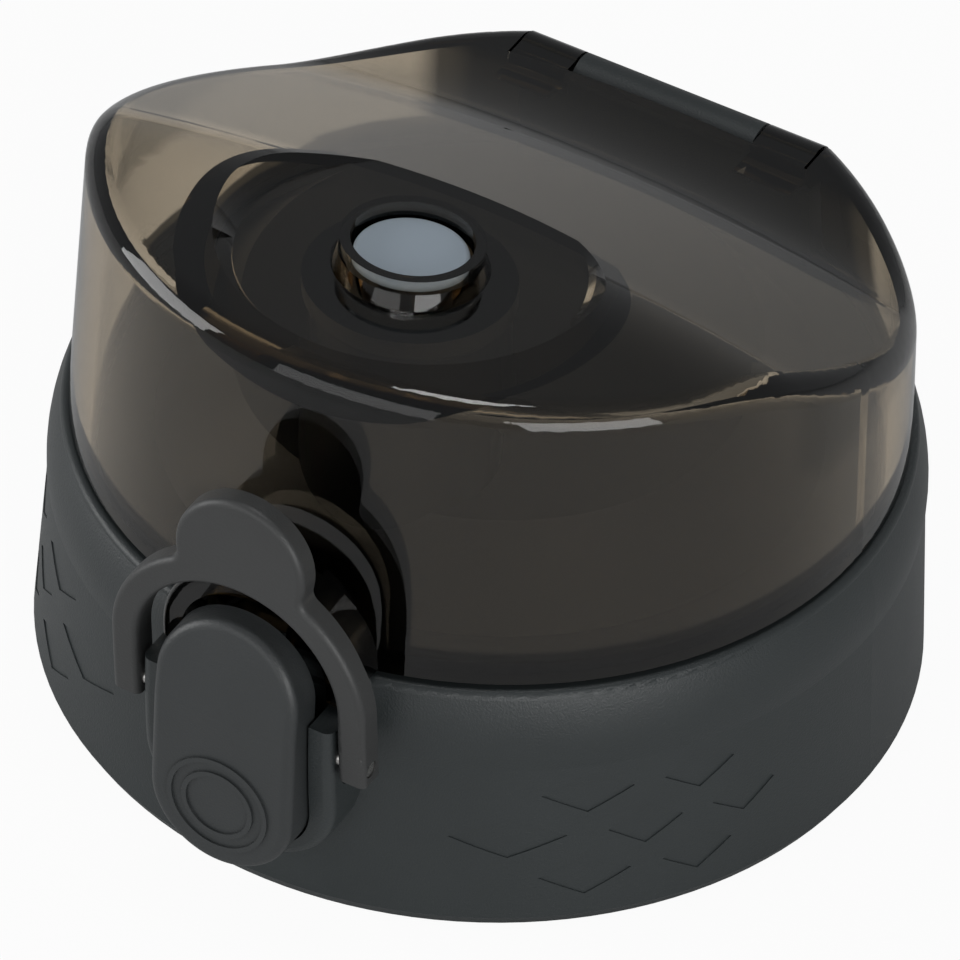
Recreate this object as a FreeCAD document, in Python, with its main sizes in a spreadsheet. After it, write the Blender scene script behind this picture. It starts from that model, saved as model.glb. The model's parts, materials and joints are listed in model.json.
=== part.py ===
"""Flip-top bottle cap with a push button and a lock loop, modelled in millimetres.

The origin lies on the screw axis at the bottom rim, +Z up. The front with the button is -Y,
the hinge is +Y.
"""
import FreeCAD
import Part
import Sketcher
import math
import os
import re

V = FreeCAD.Vector

SIZES = {
    # Collar
    "collar_radius": 38.2,
    "foot_height": 1.2,
    "foot_inset": 0.7,
    "band_height": 17.0,
    "band_inset": 0.9,
    "shoulder_inset": 1.8,
    "shoulder_curve": 14.0,
    "collar_height": 24.7,
    "skirt_thickness": 3.2,
    "top_ring_thickness": 2.5,
    "top_ring_width": 5.0,
    "rim_round": 0.7,
    # Rhombus pattern on the band
    "rhombus_half_height": 2.1,
    "rhombus_depth": 0.12,
    "rhombus_row_height": 9.8,
    "rhombus_row_pitch": 4.4,
    "rhombus_first_angle": 33.0,
    "rhombus_second_angle": 43.1,
    "rhombus_third_angle": 51.0,
    "rhombus_fourth_angle": 58.4,
    "rhombus_fifth_angle": 65.2,
    "rhombus_first_half_width": 5.0,
    "rhombus_second_half_width": 4.0,
    "rhombus_third_half_width": 3.35,
    "rhombus_fourth_half_width": 3.3,
    "rhombus_fifth_half_width": 3.2,
    # Button housing
    "housing_half_width": 9.1,
    "housing_top_drop": 1.1,
    "housing_arc_height": 14.5,
    "housing_foot_reach": 1.7,
    "housing_top_reach": 3.8,
    "housing_front_curve": 100.0,
    "housing_blend": 0.9,
    "channel_half_width": 6.95,
    "channel_arc_height": 13.55,
    "channel_floor_inset": 1.2,
    # Hinge
    "hinge_inset": 8.4,
    "hinge_drop": 2.95,
    "barrel_radius": 2.3,
    "post_knuckle_half_length": 8.8,
    "knuckle_gap": 0.25,
    "lid_knuckle_length": 5.3,
    "hinge_pin_radius": 0.9,
    "running_clearance": 0.05,
    "post_half_width": 14.2,
    "post_front_inset": 9.6,
    "post_drop": 2.7,
    "post_back_inset": 2.6,
    "hinge_web": 1.6,
    # Inner body
    "ring_clearance": 0.2,
    "flange_clearance": 0.1,
    "flange_thickness": 2.5,
    "neck_wall": 2.2,
    "neck_bore_radius": 30.0,
    "neck_depth": 16.0,
    "gasket_thickness": 2.0,
    "gasket_inner_radius": 26.5,
    "gasket_groove": 0.6,
    "gasket_clearance": 0.2,
    "throat_radius": 26.0,
    "dome_foot_radius": 28.4,
    "dome_top_radius": 22.2,
    "dome_drop": 6.95,
    "deck_thickness": 2.0,
    "dome_shoulder": 24.0,
    # Spout
    "spout_front": 15.6,
    "spout_radius": 8.4,
    "spout_bore_radius": 6.6,
    "spout_root": 27.0,
    "spout_drop": 2.4,
    "spout_lip_round": 0.7,
    # Lid
    "lid_gap": 0.5,
    "lid_bottom_inset": 2.5,
    "lid_top_inset": 3.7,
    "lid_wall": 2.0,
    "lid_roof": 2.0,
    "lid_blank_rise": 3.2,
    "crest_height": 54.8,
    "brow_drop": 1.2,
    "brow_curve": 210.0,
    "slope_start_front": 9.0,
    "slope_start_drop": 1.95,
    "slope_end_back": 15.0,
    "slope_end_rise": 2.35,
    "valley_height": 38.95,
    "crown_radius": 155.0,
    "lid_rim_round": 2.4,
    "lid_cut_half_width": 14.6,
    "lid_cut_inset": 11.0,
    # Dish and plug ring
    "dish_front": 15.5,
    "dish_depth": 3.5,
    "dish_floor_radius": 14.7,
    "dish_flare": 2.6,
    "dish_flare_height": 3.0,
    "dish_wall": 2.0,
    "dish_plate": 2.7,
    "dish_tilt": 5.0,
    "ring_radius": 6.1,
    "ring_bore_radius": 5.2,
    "ring_height": 2.6,
    "ring_flare": 1.0,
    # Plug
    "plug_head_radius": 4.85,
    "plug_stem_radius": 4.2,
    "plug_head_drop": 1.2,
    "plug_flange_radius": 9.0,
    "plug_seat_clearance": 0.3,
    "plug_nose_radius": 5.6,
    "plug_tip_radius": 5.0,
    "plug_nose_depth": 1.4,
    "plug_round": 0.4,
    # Hood
    "hood_half_width": 9.0,
    "hood_apex": 34.6,
    "hood_inner_apex": 32.5,
    "hood_bottom_drop": 0.5,
    "hood_foot_reach": 1.0,
    "hood_top_reach": 1.9,
    "hood_relief_inset": 1.2,
    "hood_round_radius": 0.8,
    "catch_half_width": 3.0,
    "catch_reach": 0.3,
    "catch_height": 27.3,
    "catch_thickness": 1.3,
    # Button
    "button_half_width": 6.7,
    "button_low_arc": 13.45,
    "button_high_arc": 25.3,
    "button_back_reach": 2.4,
    "button_thickness": 3.8,
    "button_lean_start": 15.0,
    "button_top_thickness": 2.3,
    "button_round": 0.9,
    "button_pin_reach": 0.8,
    "button_pin_height": 17.0,
    "button_boss_radius": 1.7,
    "button_pin_radius": 0.75,
    "spot_outer_radius": 4.8,
    "spot_inner_radius": 3.4,
    "spot_lip_width": 0.45,
    "spot_lip_height": 0.2,
    "nose_half_width": 2.8,
    "nose_reach": 1.65,
    "nose_height": 29.0,
    "spring_cup_radius": 2.1,
    "spring_cup_depth": 1.2,
    "spring_radius": 1.6,
    "spring_wire_radius": 0.24,
    # Lock loop
    "loop_pivot_reach": 2.1,
    "loop_pivot_height": 20.1,
    "loop_half_width": 12.08,
    "loop_inner_half_width": 9.48,
    "loop_inner_apex": 35.4,
    "loop_arm_bottom": 18.6,
    "loop_front_low_reach": 3.2,
    "loop_front_high_reach": 4.1,
    "loop_front_curve": 130.0,
    "loop_back_low_reach": 0.7,
    "loop_back_high_reach": 2.2,
    "loop_back_lean_end": 31.0,
    "lobe_radius": 6.1,
    "lobe_top": 44.6,
    "lobe_blend": 1.2,
    "loop_round": 0.6,
    "loop_pin_radius": 0.7,
    "loop_pin_inset": 0.25,
}

DERIVED = {
    "shoulder_radius": "collar_radius - shoulder_inset",
    "skirt_bore_radius": "collar_radius - skirt_thickness",
    "top_ring_bore_radius": "collar_radius - top_ring_width",
    "housing_top": "collar_height - housing_top_drop",
    "housing_front_foot": "collar_radius + housing_foot_reach",
    "housing_front_top": "collar_radius + housing_top_reach",
    "channel_floor": "collar_radius - channel_floor_inset",
    "hinge_back": "collar_radius - hinge_inset",
    "hinge_height": "valley_height - hinge_drop",
    "post_front": "collar_radius - post_front_inset",
    "post_height": "hinge_height - post_drop",
    "post_radius": "collar_radius - post_back_inset",
    "dome_top": "valley_height - dome_drop",
    "spout_top": "dish_underside - spout_drop",
    "lid_bottom": "collar_height + lid_gap",
    "lid_bottom_radius": "collar_radius - lid_bottom_inset",
    "lid_top_radius": "collar_radius - lid_top_inset",
    "lid_blank_top": "crest_height + lid_blank_rise",
    "brow_height": "crest_height - brow_drop",
    "slope_start_height": "crest_height - slope_start_drop",
    "slope_end_height": "valley_height + slope_end_rise",
    "lid_cut_back": "collar_radius - lid_cut_inset",
    "dish_floor_height": "crest_height - dish_depth",
    "dish_underside": "dish_floor_height - dish_plate",
    "hood_bottom": "collar_height - hood_bottom_drop",
    "hood_front_foot": "collar_radius + hood_foot_reach",
    "hood_front_top": "collar_radius + hood_top_reach",
    "hood_relief_radius": "collar_radius - hood_relief_inset",
    "catch_front": "collar_radius + catch_reach",
    "button_back": "collar_radius + button_back_reach",
    "button_pin_front": "collar_radius + button_pin_reach",
    "loop_pivot_front": "collar_radius + loop_pivot_reach",
    "loop_front_low": "collar_radius + loop_front_low_reach",
    "loop_front_high": "collar_radius + loop_front_high_reach",
    "loop_back_low": "collar_radius + loop_back_low_reach",
    "loop_back_high": "collar_radius + loop_back_high_reach",
}

doc = FreeCAD.newDocument("bottle_cap")
sheet = doc.addObject("Spreadsheet::Sheet", "Sizes")


def fill_sheet():
    """Write every size to the sheet under its own alias."""
    for row, (name, value) in enumerate(SIZES.items(), start=1):
        sheet.set("A%d" % row, name)
        sheet.set("B%d" % row, str(value))
        sheet.setAlias("B%d" % row, name)
    doc.recompute()


def expand(text):
    """Write each derived size out in terms of the sheet's sizes."""
    while any(word in DERIVED for word in re.findall(r"[a-z_]+", text)):
        text = re.sub(
            r"[a-z_]+",
            lambda m: "(%s)" % DERIVED[m.group(0)] if m.group(0) in DERIVED else m.group(0), text)
    return text


def bound(text):
    """Return the expression with each size named through the sheet."""
    return re.sub(
        r"[a-z_]+",
        lambda m: "Sizes." + m.group(0) if m.group(0) in SIZES else m.group(0), expand(text))


def value(text):
    """Return the number that an expression has now."""
    return float(sheet.evalExpression(expand(text)))


def bind(item, prop, text):
    """Set a property from an expression of sizes."""
    item.setExpression(prop, bound(text))


def origin_item(body, role):
    """Return the origin plane or axis of a body."""
    return [item for item in body.Origin.OriginFeatures if item.Role == role][0]


def new_body(label):
    body = doc.addObject("PartDesign::Body", label)
    body.Label = label
    return body


def new_sketch(body, name, role, offset="0", shift=("0", "0"), turn="0"):
    """Place an empty sketch on an origin plane of its body, moved along and in the plane."""
    sketch = body.newObject("Sketcher::SketchObject", name)
    sketch.AttachmentSupport = [(origin_item(body, role), "")]
    sketch.MapMode = "FlatFace"
    place = V(value(shift[0]), value(shift[1]), value(offset))
    sketch.AttachmentOffset = FreeCAD.Placement(place, FreeCAD.Rotation(V(0, 0, 1), value(turn)))
    moves = (("Base.x", shift[0]), ("Base.y", shift[1]), ("Base.z", offset), ("Rotation.Angle", turn))
    for prop, text in moves:
        if text != "0":
            bind(sketch, "AttachmentOffset." + prop, text)
    return sketch


def pin_point(sketch, index, end, x_text, y_text):
    """Hold one end of a sketch edge at a place given by expressions."""
    for kind, text in (("DistanceX", x_text), ("DistanceY", y_text)):
        number = sketch.addConstraint(Sketcher.Constraint(kind, -1, 1, index, end, value(text)))
        if bound(text) != text:
            bind(sketch, "Constraints[%d]" % number, text)


def add_outline(sketch, points, arcs=None):
    """Draw a closed outline; arcs gives a radius and a side for the edge after a point."""
    arcs = arcs or {}
    spots = [V(value(x_text), value(y_text), 0) for x_text, y_text in points]
    count = len(spots)
    first = sketch.GeometryCount
    ends = []
    for number in range(count):
        start, stop = spots[number], spots[(number + 1) % count]
        if number not in arcs:
            sketch.addGeometry(Part.LineSegment(start, stop))
            ends.append((1, 2))
            continue
        radius, side = value(arcs[number][0]), arcs[number][1]
        middle = (start + stop) * 0.5
        across = stop - start
        half = across.Length / 2
        across.normalize()
        normal = V(-across.y, across.x, 0) * side
        centre = middle + normal * math.sqrt(max(radius * radius - half * half, 0.0))
        through = centre - normal * radius
        if side > 0:
            sketch.addGeometry(Part.Arc(start, through, stop))
            ends.append((1, 2))
        else:
            sketch.addGeometry(Part.Arc(stop, through, start))
            ends.append((2, 1))
    for number, (x_text, y_text) in enumerate(points):
        following = (number + 1) % count
        sketch.addConstraint(Sketcher.Constraint(
            "Coincident", first + number, ends[number][1], first + following, ends[following][0]))
        pin_point(sketch, first + number, ends[number][0], x_text, y_text)
    for number, (radius_text, side) in arcs.items():
        chord = (spots[(number + 1) % count] - spots[number]).Length
        if abs(chord - 2 * value(radius_text)) < 1e-6:
            upright = abs(spots[(number + 1) % count].x - spots[number].x) < 1e-6
            kind, level = ("DistanceX", points[number][0]) if upright else ("DistanceY", points[number][1])
            held = sketch.addConstraint(Sketcher.Constraint(kind, -1, 1, first + number, 3, value(level)))
            bind(sketch, "Constraints[%d]" % held, level)
        else:
            held = sketch.addConstraint(Sketcher.Constraint("Radius", first + number, value(radius_text)))
            bind(sketch, "Constraints[%d]" % held, radius_text)
    return sketch


def add_circle(sketch, x_text, y_text, radius_text):
    """Draw a circle whose centre and radius follow expressions."""
    index = sketch.addGeometry(
        Part.Circle(V(value(x_text), value(y_text), 0), V(0, 0, 1), value(radius_text)))
    pin_point(sketch, index, 3, x_text, y_text)
    held = sketch.addConstraint(Sketcher.Constraint("Radius", index, value(radius_text)))
    bind(sketch, "Constraints[%d]" % held, radius_text)
    return sketch


def finish_feature(body, feature):
    """Recompute and make the feature the body's tip."""
    body.Tip = feature
    doc.recompute()
    return feature


def revolve(body, name, sketch, axis="V_Axis"):
    feature = body.newObject("PartDesign::Revolution", name)
    feature.Profile = sketch
    feature.ReferenceAxis = (sketch, [axis])
    feature.Angle = 360.0
    return finish_feature(body, feature)


def pad(body, name, sketch, length, midplane=False):
    feature = body.newObject("PartDesign::Pad", name)
    feature.Profile = sketch
    bind(feature, "Length", length)
    feature.Midplane = midplane
    return finish_feature(body, feature)


def pocket(body, name, sketch, length, midplane=False, reverse=False):
    before = body.Tip.Shape.Volume
    feature = body.newObject("PartDesign::Pocket", name)
    feature.Profile = sketch
    bind(feature, "Length", length)
    feature.Midplane = midplane
    feature.Reversed = reverse
    finish_feature(body, feature)
    if feature.Shape.Volume >= before - 1e-6:
        raise RuntimeError("%s cuts nothing" % name)
    return feature


def round_edges(body, name, base, wanted, radius):
    """Round the edges of the base feature that the test picks."""
    names = ["Edge%d" % (number + 1) for number, edge in enumerate(base.Shape.Edges) if wanted(edge)]
    if not names:
        raise RuntimeError("%s finds no edge" % name)
    feature = body.newObject("PartDesign::Fillet", name)
    feature.Base = (base, names)
    bind(feature, "Radius", radius)
    return finish_feature(body, feature)


def near(number, target, reach=0.02):
    return abs(number - target) < reach


def flat_at(edge, axis, target, reach=0.02):
    """True when the whole edge lies at one coordinate."""
    box = edge.BoundBox
    low, high = (box.YMin, box.YMax) if axis == "y" else (box.ZMin, box.ZMax)
    return near(low, target, reach) and near(high, target, reach)


def make_collar():
    """Outer ring with the button housing, the rhombus pattern and the hinge post."""
    body = new_body("collar")
    ring = add_outline(new_sketch(body, "collar_profile", "XZ_Plane"), [
        ("skirt_bore_radius", "0"),
        ("collar_radius - foot_inset", "0"),
        ("collar_radius", "foot_height"),
        ("collar_radius - band_inset", "band_height"),
        ("shoulder_radius", "collar_height - rim_round"),
        ("shoulder_radius - rim_round", "collar_height"),
        ("top_ring_bore_radius", "collar_height"),
        ("top_ring_bore_radius", "collar_height - top_ring_thickness"),
        ("skirt_bore_radius", "collar_height - top_ring_thickness"),
    ], {3: ("shoulder_curve", 1), 4: ("rim_round", 1)})
    cutter = rhombus_cutter()
    revolve(body, "collar_ring", ring)
    carved = body.newObject("PartDesign::Boolean", "rhombi")
    carved.setObjects([cutter])
    carved.Type = "Cut"
    finish_feature(body, carved)
    add_housing(body)
    add_hinge_post(body)
    return body


def rhombus_cutter():
    """Ring outside the band with stubs that reach just under its surface, one for each rhombus."""
    body = new_body("rhombus_cutter")
    out = "collar_radius + 2"
    hoop = add_outline(new_sketch(body, "cutter_hoop", "XZ_Plane"), [
        (out, "foot_height"), (out + " + 1", "foot_height"),
        (out + " + 1", "band_height"), (out, "band_height")])
    revolve(body, "cutter_ring", hoop)
    columns = (("first", (0,)), ("second", (1, -1)), ("third", (0,)), ("fourth", (1, -1)), ("fifth", (0,)))
    for side, side_name in ((1, "right"), (-1, "left")):
        for column, levels in columns:
            angle = "%d * rhombus_%s_angle" % (side, column)
            wide = "rhombus_%s_half_width" % column
            sketch = body.newObject("Sketcher::SketchObject", "rhombus_%s_%s" % (column, side_name))
            sketch.AttachmentSupport = [(origin_item(body, "XZ_Plane"), "")]
            sketch.MapMode = "FlatFace"
            sketch.AttachmentOffset = FreeCAD.Placement(
                V(0, 0, 0), FreeCAD.Rotation(V(0, 1, 0), value(angle)))
            bind(sketch, "AttachmentOffset.Rotation.Angle", angle)
            bind(sketch, "AttachmentOffset.Base.x", "(collar_radius - 2) * sin((%s) * 1deg)" % angle)
            bind(sketch, "AttachmentOffset.Base.z", "(collar_radius - 2) * cos((%s) * 1deg)" % angle)
            for level in levels:
                middle = "rhombus_row_height + %d * rhombus_row_pitch" % level
                add_outline(sketch, [
                    ("-" + wide, middle),
                    ("0", middle + " - rhombus_half_height"),
                    (wide, middle),
                    ("0", middle + " + rhombus_half_height"),
                ])
            pad(body, "rhombus_%s_%s_stub" % (column, side_name), sketch, "4.6")
    under = add_outline(new_sketch(body, "cutter_inside", "XZ_Plane"), [
        ("collar_radius - 6", "foot_height"),
        ("collar_radius - rhombus_depth", "foot_height"),
        ("collar_radius - band_inset - rhombus_depth", "band_height"),
        ("collar_radius - 6", "band_height"),
    ])
    groove(body, "cutter_inside_cut", under, "V_Axis")
    return body


def add_housing(body):
    """U-shaped housing on the front of the collar with an open channel for the button."""
    foot = "skirt_bore_radius + 0.25 * top_ring_thickness"
    outline = add_outline(new_sketch(body, "housing_outline", "XZ_Plane", foot), [
        ("-housing_half_width", "housing_arc_height"),
        ("housing_half_width", "housing_arc_height"),
        ("housing_half_width", "housing_top"),
        ("-housing_half_width", "housing_top"),
    ], {0: ("housing_half_width", 1)})
    pad(body, "housing", outline, "housing_front_top + 3 * housing_blend - (%s)" % foot)
    reach = "-(housing_front_top + 5 * housing_blend)"
    face = add_outline(new_sketch(body, "housing_face", "YZ_Plane"), [
        (reach, "0"),
        ("-housing_front_foot", "housing_arc_height - housing_half_width"),
        ("-housing_front_top", "housing_top"),
        ("-housing_front_top", "collar_height"),
        (reach, "collar_height"),
    ], {1: ("housing_front_curve", -1)})
    shaped = pocket(body, "housing_face_cut", face, "2 * housing_half_width + 2", midplane=True)
    edge_front = value("housing_front_foot") - 1.0

    def front_edge(edge):
        box = edge.BoundBox
        wide = value("housing_half_width")
        return box.YMax < -edge_front and box.XMax - box.XMin < 2 * wide + 0.1 \
            and box.ZMax < value("housing_top") + 0.01 \
            and not near(box.ZMin, value("housing_top"))
    rounded = round_edges(body, "housing_front_round", shaped, front_edge, "housing_blend")
    channel = add_outline(new_sketch(body, "channel_outline", "XZ_Plane", "channel_floor"), [
        ("-channel_half_width", "channel_arc_height"),
        ("channel_half_width", "channel_arc_height"),
        ("channel_half_width", "housing_top + 1"),
        ("-channel_half_width", "housing_top + 1"),
    ], {0: ("channel_half_width", 1)})
    pocket(body, "channel", channel, "housing_front_top - channel_floor + 4", reverse=True)
    bores = add_circle(new_sketch(body, "button_pin_bore", "YZ_Plane"),
                       "-button_pin_front", "button_pin_height", "button_pin_radius")
    pocket(body, "button_pin_hole", bores, "2 * housing_half_width + 1", midplane=True)
    bores = add_circle(new_sketch(body, "loop_pin_bore", "YZ_Plane"),
                       "-loop_pivot_front", "loop_pivot_height", "loop_pin_radius")
    pocket(body, "loop_pin_hole", bores, "2 * housing_half_width + 1", midplane=True)
    return rounded


def add_hinge_post(body):
    """Post at the back with the middle knuckle of the hinge."""
    corner = "sqrt(post_radius ^ 2 - post_half_width ^ 2)"
    outline = add_outline(new_sketch(body, "post_outline", "XY_Plane", "collar_height"), [
        ("-post_half_width", "post_front"),
        ("post_half_width", "post_front"),
        ("post_half_width", corner),
        ("-post_half_width", corner),
    ], {2: ("post_radius", 1)})
    pad(body, "hinge_post", outline, "post_height - collar_height")
    knuckle = add_circle(new_sketch(body, "post_knuckle_section", "YZ_Plane"),
                         "hinge_back", "hinge_height", "barrel_radius")
    pad(body, "post_knuckle", knuckle, "2 * post_knuckle_half_length", midplane=True)
    web = add_outline(new_sketch(body, "post_web_section", "YZ_Plane"), [
        ("hinge_back - barrel_radius", "post_height - 1"),
        ("hinge_back + barrel_radius + hinge_web", "post_height - 1"),
        ("hinge_back + barrel_radius", "hinge_height"),
        ("hinge_back - barrel_radius", "hinge_height"),
    ])
    pad(body, "post_web", web, "2 * post_knuckle_half_length", midplane=True)
    bore = add_circle(new_sketch(body, "post_knuckle_bore", "YZ_Plane"),
                      "hinge_back", "hinge_height", "hinge_pin_radius + running_clearance")
    pocket(body, "post_knuckle_hole", bore, "2 * post_knuckle_half_length + 1", midplane=True)


def make_inner_body():
    """Neck skirt, deck and drinking spout, turned in one piece."""
    body = new_body("inner_body")
    ring_top = "collar_height"
    flange_top = "collar_height - top_ring_thickness"
    outer = "neck_bore_radius + neck_wall"
    land = "top_ring_bore_radius - ring_clearance"
    seat = "neck_depth + gasket_thickness"
    profile = add_outline(new_sketch(body, "inner_profile", "XZ_Plane"), [
        ("neck_bore_radius", "0"),
        (outer, "0"),
        (outer, flange_top + " - flange_thickness"),
        ("skirt_bore_radius - flange_clearance", flange_top + " - flange_thickness"),
        ("skirt_bore_radius - flange_clearance", flange_top),
        (land, flange_top),
        (land, ring_top),
        ("dome_foot_radius", ring_top),
        ("dome_top_radius", "dome_top"),
        ("0", "dome_top"),
        ("0", "dome_top - deck_thickness"),
        ("dome_top_radius - 0.5 * deck_thickness", "dome_top - deck_thickness"),
        ("throat_radius", "dome_shoulder"),
        ("throat_radius", seat),
        ("neck_bore_radius + gasket_groove", seat),
        ("neck_bore_radius + gasket_groove", "neck_depth"),
        ("neck_bore_radius", "neck_depth"),
    ])
    revolve(body, "inner_shell", profile)
    spout = add_circle(new_sketch(body, "spout_section", "XY_Plane", "spout_root"),
                       "0", "-spout_front", "spout_radius")
    pad(body, "spout", spout, "spout_top - spout_root")
    bore = add_circle(new_sketch(body, "spout_bore_section", "XY_Plane", "spout_root - 1"),
                      "0", "-spout_front", "spout_bore_radius")
    hollow = pocket(body, "spout_bore", bore, "spout_top - spout_root + 2", reverse=True)
    round_edges(body, "spout_lip", hollow,
                lambda edge: flat_at(edge, "z", value("spout_top")), "spout_lip_round")
    return body


def make_neck_gasket():
    """Flat ring that seals on the bottle's rim."""
    body = new_body("neck_gasket")
    low, high = "neck_depth", "neck_depth + gasket_thickness"
    outer = "neck_bore_radius + gasket_groove - gasket_clearance"
    profile = add_outline(new_sketch(body, "gasket_profile", "XZ_Plane"), [
        ("gasket_inner_radius", low), (outer, low), (outer, high), ("gasket_inner_radius", high)])
    revolve(body, "gasket_ring", profile)
    return body


def groove(body, name, sketch, axis, angle=360.0, midplane=False):
    before = body.Tip.Shape.Volume
    feature = body.newObject("PartDesign::Groove", name)
    feature.Profile = sketch
    feature.ReferenceAxis = (sketch, [axis])
    feature.Angle = angle
    feature.Midplane = midplane
    finish_feature(body, feature)
    if feature.Shape.Volume >= before - 1e-6:
        raise RuntimeError("%s cuts nothing" % name)
    return feature


def crown_body(label, inset, roof, bottom):
    """Solid inside the lid's tapered wall and under its wave-shaped top, drawn in by the insets."""
    body = new_body(label)
    wall = add_outline(new_sketch(body, label + "_wall", "XZ_Plane"), [
        ("0", bottom),
        ("lid_bottom_radius - " + inset, bottom),
        ("lid_top_radius - " + inset, "lid_blank_top"),
        ("0", "lid_blank_top"),
    ])
    revolve(body, label + "_blank", wall)
    slope = "atan((slope_start_height - slope_end_height) / (slope_start_front + slope_end_back))"
    crest_curve = "(crest_height - slope_start_height) / (1 - cos(%s))" % slope
    valley_curve = "(slope_end_height - valley_height) / (1 - cos(%s))" % slope
    crest_back = "-slope_start_front - %s * sin(%s)" % (crest_curve, slope)
    valley_back = "slope_end_back + %s * sin(%s)" % (valley_curve, slope)
    reach = "(lid_bottom_radius + 4)"
    top = "lid_blank_top + 6"
    wave = new_sketch(body, label + "_wave", "YZ_Plane")
    axis = wave.addGeometry(Part.LineSegment(V(0, value("crest_height - crown_radius"), 0),
                                             V(10, value("crest_height - crown_radius"), 0)), True)
    pin_point(wave, axis, 1, "0", "crest_height - crown_radius")
    pin_point(wave, axis, 2, "10", "crest_height - crown_radius")
    add_outline(wave, [
        ("-" + reach, "brow_height - " + roof),
        (crest_back, "crest_height - " + roof),
        ("-slope_start_front", "slope_start_height - " + roof),
        ("slope_end_back", "slope_end_height - " + roof),
        (valley_back, "valley_height - " + roof),
        (reach, "valley_height - " + roof),
        (reach, top),
        ("-" + reach, top),
    ], {0: ("brow_curve", -1), 1: (crest_curve, -1), 3: (valley_curve, 1)})
    groove(body, label + "_top", wave, "Axis0", 60.0, True)
    return body


def make_lid():
    """Clear lid: hollow wave-shaped shell with dish, plug ring, hood, catch and knuckles."""
    cavity = crown_body("lid_cavity", "lid_wall", "lid_roof", "lid_bottom - 2")
    block = new_sketch(cavity, "dish_block", "YZ_Plane", shift=("-dish_front", "dish_underside"))
    block = add_outline(block, [
        ("0", "0"),
        ("-dish_floor_radius - dish_wall", "0"),
        ("-dish_floor_radius - dish_wall - 2 * dish_flare", "2 * dish_flare_height"),
        ("0", "2 * dish_flare_height"),
    ])
    groove(cavity, "dish_block_cut", block, "V_Axis")

    body = crown_body("lid", "0", "0", "lid_bottom")
    blank = body.Tip

    def on_rim(edge):
        middle = edge.valueAt((edge.FirstParameter + edge.LastParameter) / 2)
        share = (middle.z - value("lid_bottom")) / value("lid_blank_top - lid_bottom")
        radius = value("lid_bottom_radius") + share * value("lid_top_radius - lid_bottom_radius")
        flat = edge.BoundBox.ZMax < value("lid_bottom") + 0.01
        return near(math.hypot(middle.x, middle.y), radius, 0.05) and not flat \
            and not (edge.BoundBox.ZMin < value("lid_bottom") + 0.01)
    round_edges(body, "lid_rim", blank, on_rim, "lid_rim_round")
    hollow = body.newObject("PartDesign::Boolean", "lid_hollow")
    hollow.setObjects([cavity])
    hollow.Type = "Cut"
    finish_feature(body, hollow)

    tilt = {"shift": ("-dish_front", "dish_floor_height"), "turn": "-dish_tilt"}
    dish = add_outline(new_sketch(body, "dish_section", "YZ_Plane", **tilt), [
        ("0", "0"),
        ("-dish_floor_radius", "0"),
        ("-dish_floor_radius - 3 * dish_flare", "3 * dish_flare_height"),
        ("0", "3 * dish_flare_height"),
    ])
    groove(body, "dish", dish, "V_Axis")
    ring = add_outline(new_sketch(body, "plug_ring_section", "YZ_Plane", **tilt), [
        ("-ring_bore_radius", "-1"),
        ("-ring_radius - ring_flare", "-1"),
        ("-ring_radius", "0.5 * ring_height"),
        ("-ring_radius", "ring_height"),
        ("-ring_bore_radius", "ring_height"),
    ])
    revolve(body, "plug_ring", ring)
    bore = add_outline(new_sketch(body, "plug_ring_bore", "YZ_Plane", **tilt), [
        ("0", "dish_underside - dish_floor_height - 2"),
        ("-ring_bore_radius", "dish_underside - dish_floor_height - 2"),
        ("-ring_bore_radius", "ring_height + 1"),
        ("0", "ring_height + 1"),
    ])
    groove(body, "plug_ring_hole", bore, "V_Axis")
    add_hood(body)
    add_lid_hinge(body)
    return body


def add_hood(body):
    """Horseshoe hood round the button's upper end, and the catch that the button's nose holds."""
    inside = "lid_bottom_radius - 0.8 * lid_wall"
    length = "hood_front_top + 1 - (%s)" % inside
    centre = "hood_apex - hood_half_width"
    inner = "channel_half_width"
    outline = add_outline(new_sketch(body, "hood_outline", "XZ_Plane", inside), [
        ("-hood_half_width", "hood_bottom"),
        ("-" + inner, "hood_bottom"),
        ("-" + inner, "hood_inner_apex - channel_half_width"),
        (inner, "hood_inner_apex - channel_half_width"),
        (inner, "hood_bottom"),
        ("hood_half_width", "hood_bottom"),
        ("hood_half_width", centre),
        ("-hood_half_width", centre),
    ], {2: (inner, -1), 6: ("hood_half_width", 1)})
    pad(body, "hood", outline, length)
    lean = "(hood_front_top - hood_front_foot) / (hood_apex - hood_bottom)"
    face = add_outline(new_sketch(body, "hood_face", "YZ_Plane"), [
        ("-hood_front_foot + 1 * (%s)" % lean, "hood_bottom - 1"),
        ("-hood_front_top - 1 * (%s)" % lean, "hood_apex + 1"),
        ("-hood_front_top - 3", "hood_apex + 1"),
        ("-hood_front_top - 3", "hood_bottom - 1"),
    ])
    faced = pocket(body, "hood_face_cut", face, "2 * hood_half_width + 2", midplane=True)

    def front_arc(edge):
        box = edge.BoundBox
        outer = near(max(abs(box.XMin), abs(box.XMax)), value("hood_half_width"), 0.01)
        return outer and box.YMax < -value("hood_front_foot") + 0.02 \
            and box.ZMin > value("hood_bottom") - 0.01 \
            and box.ZMax - box.ZMin > 1.0
    round_edges(body, "hood_round", faced, front_arc, "hood_round_radius")
    relief = add_circle(new_sketch(body, "hood_relief", "XY_Plane", "hood_bottom - 1"),
                        "0", "0", "hood_relief_radius")
    pocket(body, "hood_relief_cut", relief, "lid_bottom - hood_bottom + 1", reverse=True)
    catch = add_outline(new_sketch(body, "catch_section", "YZ_Plane"), [
        ("-(%s)" % inside, "catch_height - catch_thickness"),
        ("-catch_front", "catch_height"),
        ("-catch_front", "catch_height + catch_thickness"),
        ("-(%s)" % inside, "catch_height + catch_thickness"),
    ])
    pad(body, "catch", catch, "2 * catch_half_width", midplane=True)


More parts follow.
